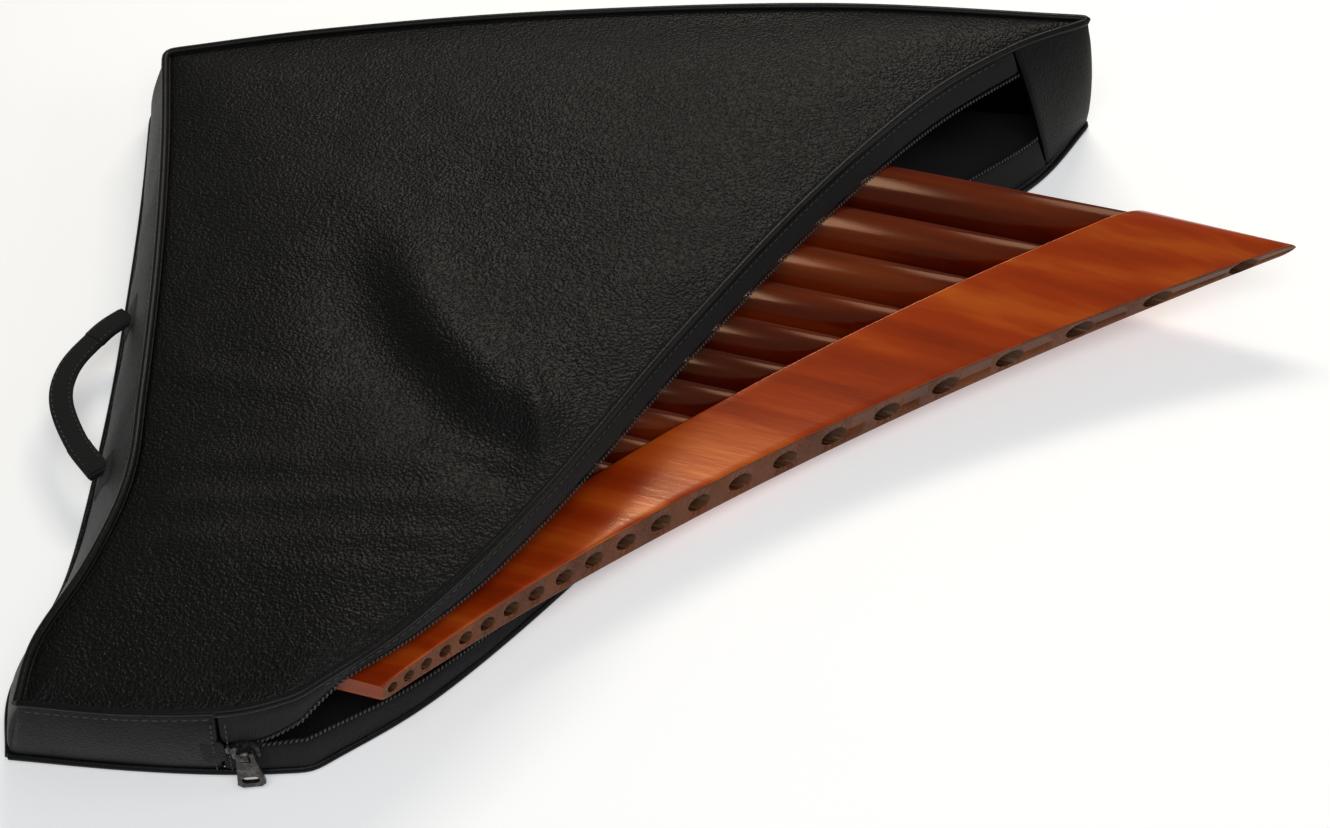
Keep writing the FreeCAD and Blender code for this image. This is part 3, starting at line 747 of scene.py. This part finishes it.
def swell(panel, pinned, pressure, cap):
    """Blows the padding up between its seams as cloth under pressure, and holds each point to a cap."""
    rest = [v.co.copy() for v in panel.data.vertices]
    group = panel.vertex_groups.new(name="seam")
    group.add(pinned, 1.0, "REPLACE")
    cloth = panel.modifiers.new("swell", "CLOTH")
    settings = cloth.settings
    settings.quality = 4
    settings.mass = 0.2
    settings.tension_stiffness = 12
    settings.compression_stiffness = 6
    settings.bending_stiffness = 0.6
    settings.use_pressure = True
    settings.uniform_pressure_force = pressure
    settings.vertex_group_mass = "seam"
    settings.effector_weights.gravity = 0
    cloth.collision_settings.use_collision = False
    scene = bpy.context.scene
    last = 20
    cloth.point_cache.frame_start = 1
    cloth.point_cache.frame_end = last
    for number in range(1, last + 1):
        scene.frame_set(number)
    graph = bpy.context.evaluated_depsgraph_get()
    moved = [v.co.copy() for v in panel.evaluated_get(graph).data.vertices]
    panel.modifiers.remove(cloth)
    panel.vertex_groups.clear()
    for vertex, before, after in zip(panel.data.vertices, rest, moved):
        step = after - before
        if step.length > cap:
            step = step.normalized() * cap
        vertex.co = before + step
    scene.frame_set(1)


def make_top_panel():
    rows, columns = 112, 100
    places = coons(TOP_RUNS, rows, columns, 0.9)
    upper, lower, room = [], [], []
    for i in range(rows):
        for j in range(columns):
            p = places[i * columns + j]
            away = edge_distance(i, j, rows, columns, places)
            room.append(away)
            height = top_height(p.x) - 2.2 + 1.8 * smooth(away / 7)
            upper.append(bag_point(p.x, p.y, height))
            lower.append(bag_point(p.x, p.y, top_height(p.x) - PANEL + 0.1))
    verts, faces = closed_sheet(upper, lower, rows, columns)
    panel = new_piece("top_panel", verts, faces, "bag", "leatherette", LEATHER)
    count = rows * columns
    rim = [k for k in range(count) if room[k] < 0.01]
    swell(panel, rim + list(range(count, 2 * count)), 4.0, 0.0055)
    for k in range(count):
        p = places[k]
        hold = smooth(room[k] / 26)
        panel.data.vertices[k].co.z += panel_relief(p.x, p.y) * hold * MM
    finish_soft(panel)
    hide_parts("top_shell", "top_padding")
    return panel


def finish_soft(piece):
    soften = piece.modifiers.new("soften", "SUBSURF")
    soften.levels = 1
    soften.render_levels = 1
    apply_modifiers(piece)
    piece.data.shade_smooth()


def make_bottom_panel():
    rows, columns = 70, 70
    places = coons(BOTTOM_RUNS, rows, columns, 0.9)
    upper, lower = [], []
    for i in range(rows):
        for j in range(columns):
            p = places[i * columns + j]
            away = edge_distance(i, j, rows, columns, places)
            lift = 1.6 * (1 - smooth(away / 9))
            lower.append(bag_point(p.x, p.y, lift))
            upper.append(bag_point(p.x, p.y, PANEL + 0.1))
    verts, faces = closed_sheet(upper, lower, rows, columns)
    panel = new_piece("bottom_panel", verts, faces, "bag", "leatherette", LEATHER)
    finish_soft(panel)
    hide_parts("bottom_shell", "bottom_padding")
    return panel


def make_lining(name, node, runs, low, high):
    """A thin sheet of lining with shallow ripples, glued to the foam."""
    rows, columns = 60, 60
    places = coons(runs, rows, columns, WALL + 1.2)
    upper = []
    lower = []
    for p in places:
        ripple = 0.22 * noise.noise(Vector((p.x * 0.05, p.y * 0.05, 1.3)))
        upper.append(bag_point(p.x, p.y, high(p.x) - 0.25 + ripple))
        lower.append(bag_point(p.x, p.y, low(p.x) + 0.25 + ripple))
    verts, faces = closed_sheet(upper, lower, rows, columns)
    sheet = new_piece(name, verts, faces, "bag", "lining", LINING)
    finish_soft(sheet)
    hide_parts(node)
    return sheet


# ---- bag walls ----

def wall_columns(spans, spacing=4.0):
    """(run, share) places along the wall, over one or more spans of the plan."""
    columns = []
    for run, start, end in spans:
        length = (TOP_RUNS[run][-1] - TOP_RUNS[run][0]).length * abs(end - start)
        count = max(3, round(length / spacing))
        for k in range(count + 1):
            columns.append((run, start + (end - start) * k / count))
        if run != spans[-1][0]:
            columns.pop()
    return columns


def wall_grid(columns, rows, low, high, out):
    """Points on the wall. low and high give heights from the place on top; out(v, k) is how far it is out."""
    tops = [on_run(TOP_RUNS, run, share) for run, share in columns]
    grid = [[] for _ in range(rows)]
    for k, (run, share) in enumerate(columns):
        before, after = tops[max(k - 1, 0)], tops[min(k + 1, len(tops) - 1)]
        along = (after - before).normalized()
        outward = Vector((along.y, -along.x))
        base, top = low(tops[k]), high(tops[k])
        for i in range(rows):
            v = i / (rows - 1)
            z = base + (top - base) * v
            place = wall_xy(run, share, z) + outward * out(v, k)
            grid[i].append(bag_point(place.x, place.y, z))
    return [point for row in grid for point in row]


def make_wall(name, nodes, spans, low, high, bulge, material, slot, thickness=WALL - 0.4, rows=14):
    """A gusset or band that bulges softly between its two seams."""
    columns = wall_columns(spans)

    def outer(v, k):
        ripple = noise.noise(Vector((k * 0.16, v * 2.2, len(name)))) * 0.7
        pinch = smooth(v / 0.16) * smooth((1 - v) / 0.16)
        return (bulge * 4 * v * (1 - v) + ripple) * pinch - 0.3

    face = wall_grid(columns, rows, low, high, outer)
    back = wall_grid(columns, rows, low, high, lambda v, k: -thickness)
    verts, faces = closed_sheet(face, back, rows, len(columns))
    wall = new_piece(name, verts, faces, "bag", slot, material)
    finish_soft(wall)
    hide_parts(*nodes)
    return wall


def at_floor(p):
    return 0.8


def at_top(p):
    return top_height(p.x) - 1.2


def make_walls():
    nose = [(OPENING, NOSE_SHARE, 1.0), (LONG, 0.0, 1.0)]
    make_wall("long_side", ["long_gusset"], nose, at_floor, at_top, 3.4, SIDE_LEATHER, "leatherette")
    make_wall("handle_side", ["spine_gusset"], [(LEFT, 0.0, 1.0)], at_floor, at_top, 3.0, SIDE_LEATHER,
              "leatherette")
    make_wall("end_side", ["end_gusset"], [(END, 0.0, SEAM_SHARE)], at_floor, at_top, 2.2, SIDE_LEATHER,
              "leatherette")
    zip_spans = [(END, SEAM_SHARE, 1.0), (OPENING, 0.0, NOSE_SHARE)]
    make_wall("flap_zip_band", ["zip_band_upper", "zip_tape_upper"], zip_spans,
              lambda p: flap_edge(p.x) + 0.4, at_top, 0.8, ZIP_CLOTH, "zip_fabric", rows=10)
    make_wall("lower_zip_band", ["zip_band_lower", "zip_tape_lower"], zip_spans, at_floor,
              lambda p: lower_edge(p.x, p.y) - TEETH, 0.9, ZIP_CLOTH, "zip_fabric", rows=8)


def wall_line(spans, height, out, spacing=4.0):
    """A line on the wall: height gives z from the place on top, out how far it stands off."""
    columns = wall_columns(spans, spacing)
    return wall_grid(columns, 2, height, height, lambda v, k: out)[:len(columns)]


# ---- piping, zip teeth, stitches ----

def rounded_corners(points, times):
    for _ in range(times):
        middle = [(a + b * 2 + c) / 4 for a, b, c in zip(points, points[1:], points[2:])]
        points = points[:1] + middle + points[-1:]
    return points


def make_piping():
    all_round = [(OPENING, 0.0, 1.0), (LONG, 0.0, 1.0), (LEFT, 0.0, 1.0)]
    start = [(END, SEAM_SHARE, 1.0)]
    top = rounded_corners(wall_line(start + all_round, lambda p: top_height(p.x) - 1.2, 0.5, 2.5), 3)
    bead = new_piece("top_piping", *tube(top, 1.9 * MM, 12), "bag", "leatherette", PIPING_LEATHER)
    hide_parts("piping_top")
    fold = wall_line([(END, 0.0, SEAM_SHARE)], lambda p: top_height(p.x) - 1.0, 0.2, 2.5)
    new_piece("end_seam_fold", *tube(fold, 1.2 * MM, 10), "bag", "leatherette", PIPING_LEATHER)
    low = rounded_corners(wall_line([(END, 0.0, 1.0)] + all_round, lambda p: 1.7, 0.2, 2.5), 3)
    bead = new_piece("bottom_piping", *tube(low, 1.6 * MM, 10), "bag", "leatherette", PIPING_LEATHER)
    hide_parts("piping_bottom")


def make_teeth(name, node, height, pitch=1.9):
    """A row of coil teeth, each a short slanted loop of nylon on the tape's edge."""
    spans = [(END, SEAM_SHARE + 0.08, 1.0), (OPENING, 0.0, NOSE_SHARE)]
    outer = wall_line(spans, height, 0.3, pitch)
    inner = wall_line(spans, height, -1.3, pitch)
    parts = []
    for k in range(len(outer) - 1):
        if (outer[k + 1] - outer[k]).length > 0.5 * MM:
            parts.append(capsule(outer[k], inner[k + 1], 0.62 * MM, Vector((0, 0, 1))))
    teeth = new_piece(name, *join_parts(parts), "bag", "zip_coil", COIL)
    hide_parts(node)


def stitch_row(name, line, up, length=2.6, gap=1.3, radius=0.32):
    """Stitches laid end to end along a line of points."""
    parts = []
    travelled = [0.0]
    for a, b in zip(line, line[1:]):
        travelled.append(travelled[-1] + (b - a).length / MM)

    def at(distance):
        k = 0
        while k < len(line) - 2 and travelled[k + 1] < distance:
            k += 1
        span = max(travelled[k + 1] - travelled[k], 1e-6)
        return line[k].lerp(line[k + 1], (distance - travelled[k]) / span)

    place = gap
    while place + length < travelled[-1]:
        parts.append(capsule(at(place), at(place + length), radius * MM, up))
        place += length + gap
    return new_piece(name, *join_parts(parts), "bag", "webbing", THREAD)


def make_stitches():
    front = Vector((*(turned(0, -1) / MM), 0.0)).normalized()
    end_run = [(END, 0.02, SEAM_SHARE - 0.01)]
    stitch_row("end_top_stitches", wall_line(end_run, lambda p: top_height(p.x) - 5.0, 1.15), front)
    for number, share in enumerate((SEAM_SHARE - 0.02, SEAM_SHARE + 0.03)):
        line = []
        for k in range(16):
            z = 4.0 + 40.0 * k / 15
            place = wall_xy(END, share, z) + Vector((0, -0.9 - 1.4 * math.sin(math.pi * z / 50)))
            line.append(bag_point(place.x, place.y, z))
        stitch_row("end_seam_stitches_%d" % (number + 1), line, front)
    band = [(OPENING, 0.02, NOSE_SHARE - 0.02)]
    stitch_row("flap_band_stitches", wall_line(band, lambda p: top_height(p.x) - 4.6, 0.9), front)
    left = Vector((*(turned(-1, 0) / MM), 0.0)).normalized()
    left_line = wall_line([(LEFT, 0.03, 0.97)], lambda p: top_height(p.x) - 4.8, 1.5)
    stitch_row("handle_side_stitches", left_line, left)


def make_end_tab():
    """The stitched leather tab over the zip's end."""
    tab = cad_copy("zip_end_tab", "zip_tab")
    tab.data.materials.clear()
    tab.data.materials.append(SIDE_LEATHER)
    add_bevel(tab, 0.0004)
    apply_modifiers(tab)
    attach(tab, "bag")
    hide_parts("zip_end_tab")


# ---- handle ----

HANDLE_Z = 20.0
HANDLE_ENDS = (85.0, -10.0)
HANDLE_LOOP = [(0.13, 0.56), (0.35, 1.0), (0.56, 1.0), (0.81, 0.52)]
HANDLE_REACH = 23.0
HANDLE_GAP = 4.0
HANDLE_WIDTH = 11.0
HANDLE_THICKNESS = 3.6
PATCH_HEIGHT = 16.0
PATCH_LENGTH = 21.0


def left_wall_x(y):
    nearest = min(range(RUN_STEPS + 1), key=lambda k: abs(wall_xy(LEFT, k / RUN_STEPS, HANDLE_Z).y - y))
    return wall_xy(LEFT, nearest / RUN_STEPS, HANDLE_Z).x


def handle_line(count):
    high, low = HANDLE_ENDS
    first, last = left_wall_x(high) - HANDLE_GAP, left_wall_x(low) - HANDLE_GAP
    path = [(first, high)]
    for down, out in HANDLE_LOOP:
        path.append(((first + last) / 2 - out * HANDLE_REACH, high - down * (high - low)))
    path.append((last, low))
    return even_line(path, count)


def strap(line, width, thickness, z):
    """Flat webbing along a line on the plan, with rounded selvedges."""
    verts = []
    section = []
    sides = 20
    for j in range(sides):
        angle = 2 * math.pi * j / sides
        across = math.copysign(abs(math.cos(angle)) ** 0.45, math.cos(angle)) * width / 2
        over = math.copysign(abs(math.sin(angle)) ** 0.6, math.sin(angle)) * thickness / 2
        section.append((across, over))
    for k, p in enumerate(line):
        before, after = line[max(k - 1, 0)], line[min(k + 1, len(line) - 1)]
        along = (after - before).normalized()
        side = Vector((along.y, -along.x))
        lift = 0.35 * math.sin(k * 0.35)
        for across, over in section:
            place = p + side * across
            verts.append(bag_point(place.x, place.y, z + over + lift * abs(across) / width))
    count = len(line)
    faces = grid_faces(count, sides, 0, True)
    faces += [tuple(range(sides))[::-1], tuple(range((count - 1) * sides, count * sides))]
    return verts, faces


def make_handle():
    line = handle_line(70)
    loop = new_piece("webbing_handle", *strap(line, HANDLE_WIDTH - 0.4, HANDLE_THICKNESS - 0.8, HANDLE_Z),
                     "handle", "webbing", WEBBING)
    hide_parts("handle")
    folds = [strap(line[1:14], HANDLE_WIDTH, HANDLE_THICKNESS, HANDLE_Z),
             strap(line[-14:-1], HANDLE_WIDTH, HANDLE_THICKNESS, HANDLE_Z)]
    new_piece("handle_folded_ends", *join_parts(folds), "handle", "webbing", WEBBING)
    parts = []
    for shift in (-0.34, 0.34):
        edge = []
        for k, p in enumerate(line):
            before, after = line[max(k - 1, 0)], line[min(k + 1, len(line) - 1)]
            along = (after - before).normalized()
            place = p + Vector((along.y, -along.x)) * (shift * HANDLE_WIDTH)
            edge.append(bag_point(place.x, place.y, HANDLE_Z + HANDLE_THICKNESS / 2 - 0.35))
        for k in range(6, len(edge) - 6, 2):
            parts.append(capsule(edge[k], edge[k].lerp(edge[k + 1], 1.1), 0.3 * MM, Vector((0, 0, 1))))
    new_piece("handle_stitches", *join_parts(parts), "handle", "webbing", THREAD)


def make_patches():
    """The webbing patches that carry the handle's ends, each sewn on the left wall."""
    for name, node, y in (("handle_patch_high", "handle_patch_top", HANDLE_ENDS[0]),
                          ("handle_patch_lower", "handle_patch_low", HANDLE_ENDS[1])):
        rows, columns = 10, 14
        grids = ([], [])
        for i in range(rows):
            z = HANDLE_Z + PATCH_HEIGHT * (i / (rows - 1) - 0.5)
            for j in range(columns):
                where = y + PATCH_LENGTH * (j / (columns - 1) - 0.5)
                x = left_wall_x_at(where, z)
                rim = min(i, rows - 1 - i, j, columns - 1 - j)
                grids[0].append(bag_point(x - (2.9 if rim else 2.0), where, z))
                grids[1].append(bag_point(x - 0.4, where, z))
        patch = new_piece(name, *closed_sheet(grids[0], grids[1], rows, columns), "bag", "webbing", WEBBING)
        finish_soft(patch)
        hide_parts(node)


def left_wall_x_at(y, z):
    """The left wall's x at a place, found by halving: y falls along the run."""
    low, high = 0.0, 1.0
    for _ in range(24):
        middle = (low + high) / 2
        if wall_xy(LEFT, middle, z).y > y:
            low = middle
        else:
            high = middle
    return wall_xy(LEFT, low, z).x


# ---- stage, light and camera ----

CAMERA_TARGET = Vector((0.0384, -0.0421, 0.048))
CAMERA_DISTANCE = 0.901
CAMERA_ELEVATION = 49.0
CAMERA_LENS = 57.3


def make_camera():
    camera = bpy.data.objects.new("camera", bpy.data.cameras.new("camera"))
    camera.data.lens = CAMERA_LENS
    camera.data.sensor_width = 36.0
    elevation = math.radians(CAMERA_ELEVATION)
    flat = math.cos(elevation)
    back = Vector((math.sin(SWING) * flat, -math.cos(SWING) * flat, math.sin(elevation)))
    camera.location = CAMERA_TARGET + back * CAMERA_DISTANCE
    camera.rotation_euler = (-back).to_track_quat("-Z", "Y").to_euler()
    bpy.context.scene.collection.objects.link(camera)
    bpy.context.scene.camera = camera


def make_light(name, place, size, power, tint):
    light = bpy.data.lights.new(name, "AREA")
    light.shape = "RECTANGLE"
    light.size, light.size_y = size
    light.energy = power
    light.color = tint
    lamp = bpy.data.objects.new(name, light)
    lamp.location = place
    lamp.rotation_euler = (CAMERA_TARGET - Vector(place)).to_track_quat("-Z", "Y").to_euler()
    bpy.context.scene.collection.objects.link(lamp)


def make_stage():
    mesh = bpy.data.meshes.new("floor")
    half = 4.0
    corners = [(-half, -half, 0), (half, -half, 0), (half, half, 0), (-half, half, 0)]
    mesh.from_pydata(corners, [], [(0, 1, 2, 3)])
    floor = bpy.data.objects.new("floor", mesh)
    floor.location.z = -0.0004
    bpy.context.scene.collection.objects.link(floor)
    glow = colour(0.96, 0.98, 1.0)
    material, tree, shader, place = new_material("pale_floor", Roughness=0.8, Specular_IOR_Level=0.1,
                                                 Emission_Color=glow, Emission_Strength=0.30)
    shade = fine_noise(tree, place, 3.0, 2.0)
    tree.links.new(ramp(tree, shade, [(0.0, colour(0.79, 0.79, 0.78)), (1.0, colour(0.83, 0.83, 0.82))]),
                   shader.inputs["Base Color"])
    mesh.materials.append(material)
    world = bpy.data.worlds.new("studio")
    world.use_nodes = True
    background = world.node_tree.nodes["Background"]
    background.inputs["Color"].default_value = colour(0.97, 0.985, 1.0)
    background.inputs["Strength"].default_value = 0.18
    bpy.context.scene.world = world
    make_light("key", (-0.2, 1.12, 1.1), (0.9, 0.22), 12.0, (1.0, 0.92, 0.80))
    make_light("front", (0.25, -0.75, 1.35), (1.2, 0.8), 11.0, (0.96, 0.98, 1.0))
    make_light("side", (1.3, 0.3, 0.7), (0.5, 0.8), 3.0, (0.98, 0.99, 1.0))
    bpy.context.scene.view_settings.view_transform = "Standard"


# ---- the whole ----

make_camera()
make_stage()
make_board(1, "foot_front_board", "foot_board_front")
make_board(-1, "foot_back_board", "foot_board_back")
finish_cad_pieces()
make_top_panel()
make_bottom_panel()
make_lining("lining_top", "top_lining", TOP_RUNS,
            lambda x: top_height(x) - PANEL - 1.0, lambda x: top_height(x) - PANEL)
make_lining("lining_bottom", "bottom_lining", BOTTOM_RUNS, lambda x: PANEL + 0.2, lambda x: PANEL + 1.2)
make_walls()
make_piping()
make_teeth("flap_teeth", "zip_teeth_upper", lambda p: flap_edge(p.x) - TEETH / 2)
make_teeth("lower_teeth", "zip_teeth_lower", lambda p: lower_edge(p.x, p.y) - TEETH / 2)
make_stitches()
make_end_tab()
make_handle()
make_patches()
